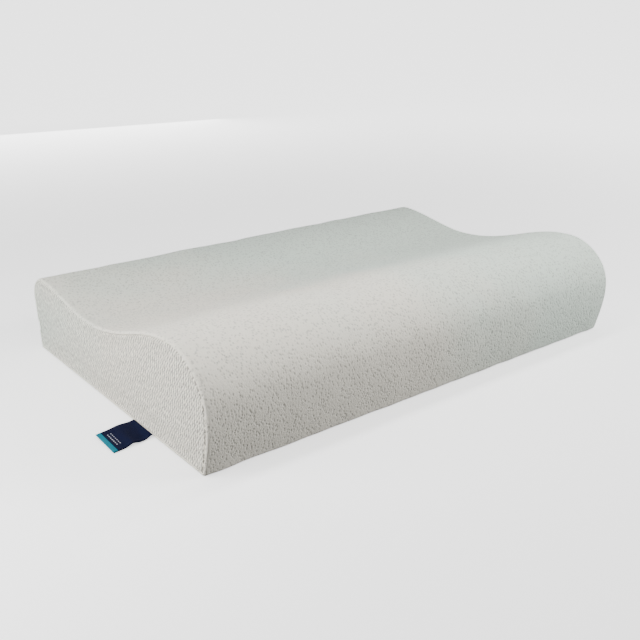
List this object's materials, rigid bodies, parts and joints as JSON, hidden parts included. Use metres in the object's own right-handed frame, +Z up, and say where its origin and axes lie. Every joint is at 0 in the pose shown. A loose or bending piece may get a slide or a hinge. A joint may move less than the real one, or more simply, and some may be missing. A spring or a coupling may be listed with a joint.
{
  "type": "contour bed pillow",
  "caption": "Contour memory-foam bed pillow with a high front roll, a dip and a lower back roll, in a knit cover with a back zip and a loop label.",
  "frame": {"origin": "middle of the flat underside, halfway between the two ends and between the front bulge and the back edge", "axes": "+X along the pillow toward the end without the label, +Y from the high front roll to the lower back roll, +Z up"},
  "size_m": [0.6449, 0.4056, 0.1185],
  "materials": {
    "foam": "matte",
    "liner_knit": "matte",
    "overlock_thread": "matte",
    "cover_knit": "matte",
    "end_knit": "matte",
    "zip_tape": "matte",
    "zip_coil": "satin",
    "stitch_thread": "matte",
    "slider_metal": "satin",
    "label_weave": "matte",
    "care_satin": "satin"
  },
  "bodies": {
    "pillow": {"foam_core": "foam", "liner_sleeve": "liner_knit", "liner_left_end": "liner_knit", "liner_right_end": "liner_knit", "liner_left_seam": "overlock_thread", "liner_right_seam": "overlock_thread", "cover_body_panel": "cover_knit", "cover_left_end_panel": "end_knit", "cover_right_end_panel": "end_knit", "left_end_seam": "overlock_thread", "right_end_seam": "overlock_thread", "zip_upper_tape": "zip_tape", "zip_lower_tape": "zip_tape", "zip_upper_coil": "zip_coil", "zip_lower_coil": "zip_coil", "zip_upper_topstitch": "stitch_thread", "zip_lower_topstitch": "stitch_thread", "zip_left_bartack": "stitch_thread", "zip_right_bartack": "stitch_thread", "care_label": "care_satin"},
    "slider": {"zip_slider": "slider_metal"},
    "pull_tab": {"zip_pull_tab": "slider_metal"},
    "side_label": {"side_label": "label_weave"}
  },
  "joints": [
    {"name": "zip_travel", "type": "slide", "parent": "pillow", "child": "slider", "axis": [-1, 0, 0], "range_m": [0, 0.548], "deforming": ["zip_upper_tape", "zip_lower_tape", "zip_upper_coil", "zip_lower_coil"]},
    {"name": "pull_tab_swing", "type": "hinge", "parent": "slider", "child": "pull_tab", "pos_m": [0.274, 0.2013, 0.02981], "axis": [0, -0.0916, -0.9958], "range_deg": [0, 180]},
    {"name": "label_fold", "type": "hinge", "parent": "pillow", "child": "side_label", "pos_m": [-0.3009, -0.075, 0.0035], "axis": [0, 1, 0], "range_deg": [0, 80]}
  ]
}
